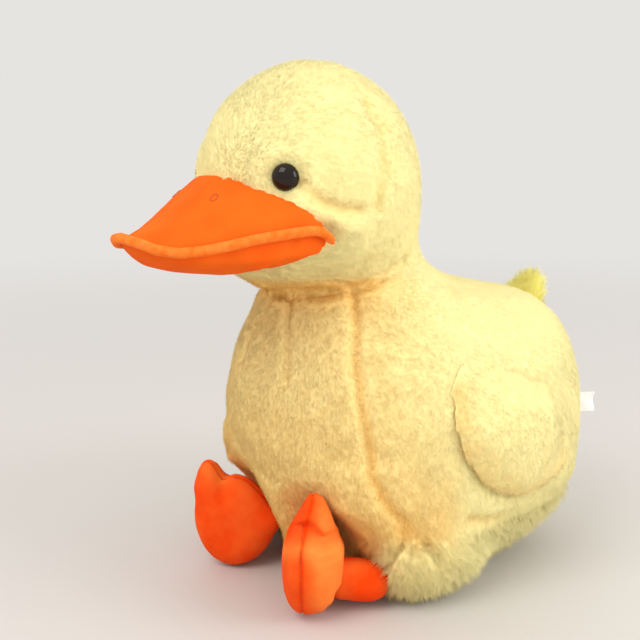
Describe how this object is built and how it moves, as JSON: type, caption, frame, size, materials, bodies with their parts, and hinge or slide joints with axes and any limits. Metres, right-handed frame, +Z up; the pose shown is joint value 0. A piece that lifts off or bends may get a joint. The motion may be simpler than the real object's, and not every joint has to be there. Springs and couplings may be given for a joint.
{
  "type": "plush duck",
  "caption": "Sitting stuffed duck in cream long-pile fur with a broad orange bill, glossy black eyes and upright orange feet.",
  "frame": {"origin": "on the surface it sits on, under the middle of the body", "axes": "+Z up, the duck faces -Y, its left side is +X"},
  "size_m": [0.2802, 0.4222, 0.3983],
  "materials": {
    "cream_fur": "matte",
    "honey_fur": "matte",
    "lemon_fur": "matte",
    "orange_velboa": "matte",
    "orange_thread": "matte",
    "eye_black": "gloss",
    "washer_white": "matte",
    "polyester_fill": "matte",
    "label_white": "satin"
  },
  "bodies": {
    "body": {"back_of_head_panel": "cream_fur", "base_panel": "cream_fur", "bill_filling": "polyester_fill", "bill_lower": "orange_velboa", "bill_upper": "orange_velboa", "body_filling": "polyester_fill", "care_label": "label_white", "chest_panel": "honey_fur", "eye_left": "eye_black", "eye_right": "eye_black", "eye_washer_left": "washer_white", "eye_washer_right": "washer_white", "face_panel": "cream_fur", "head_filling": "polyester_fill", "mouth_piping": "orange_velboa", "nostril_left": "orange_thread", "nostril_right": "orange_thread", "side_panel_left": "cream_fur", "side_panel_right": "cream_fur", "tail": "lemon_fur", "tail_filling": "polyester_fill", "thigh_filling_left": "polyester_fill", "thigh_filling_right": "polyester_fill", "thigh_left": "cream_fur", "thigh_right": "cream_fur"},
    "wing_left": {"wing_left": "cream_fur", "wing_filling_left": "polyester_fill"},
    "leg_left": {"leg_left": "orange_velboa", "leg_filling_left": "polyester_fill"},
    "foot_left": {"foot_sole_left": "orange_velboa", "foot_instep_left": "orange_velboa", "foot_filling_left": "polyester_fill"},
    "wing_right": {"wing_right": "cream_fur", "wing_filling_right": "polyester_fill"},
    "leg_right": {"leg_right": "orange_velboa", "leg_filling_right": "polyester_fill"},
    "foot_right": {"foot_sole_right": "orange_velboa", "foot_instep_right": "orange_velboa", "foot_filling_right": "polyester_fill"}
  },
  "joints": [
    {"name": "wing_left_flap", "type": "hinge", "parent": "body", "child": "wing_left", "pos_m": [0.1135, -0.054, 0.145], "axis": [0, 0, -1], "range_deg": [0, 40], "stiffness_Nm_per_rad": 0.03},
    {"name": "leg_left_swing", "type": "hinge", "parent": "body", "child": "leg_left", "pos_m": [0.074, -0.094, 0.021], "axis": [0, 0, 1], "range_deg": [0, 25], "stiffness_Nm_per_rad": 0.1},
    {"name": "foot_left_twist", "type": "hinge", "parent": "leg_left", "child": "foot_left", "pos_m": [0.05443, -0.12302, 0.025], "axis": [0.5556, 0.8237, -0.1135], "range_deg": [0, 20], "stiffness_Nm_per_rad": 0.05},
    {"name": "wing_right_flap", "type": "hinge", "parent": "body", "child": "wing_right", "pos_m": [-0.1135, -0.054, 0.145], "axis": [0, 0, 1], "range_deg": [0, 40], "stiffness_Nm_per_rad": 0.03},
    {"name": "leg_right_swing", "type": "hinge", "parent": "body", "child": "leg_right", "pos_m": [-0.074, -0.094, 0.021], "axis": [0, 0, -1], "range_deg": [0, 25], "stiffness_Nm_per_rad": 0.1},
    {"name": "foot_right_twist", "type": "hinge", "parent": "leg_right", "child": "foot_right", "pos_m": [-0.05443, -0.12302, 0.025], "axis": [0.5556, -0.8237, 0.1135], "range_deg": [0, 20], "stiffness_Nm_per_rad": 0.05}
  ]
}
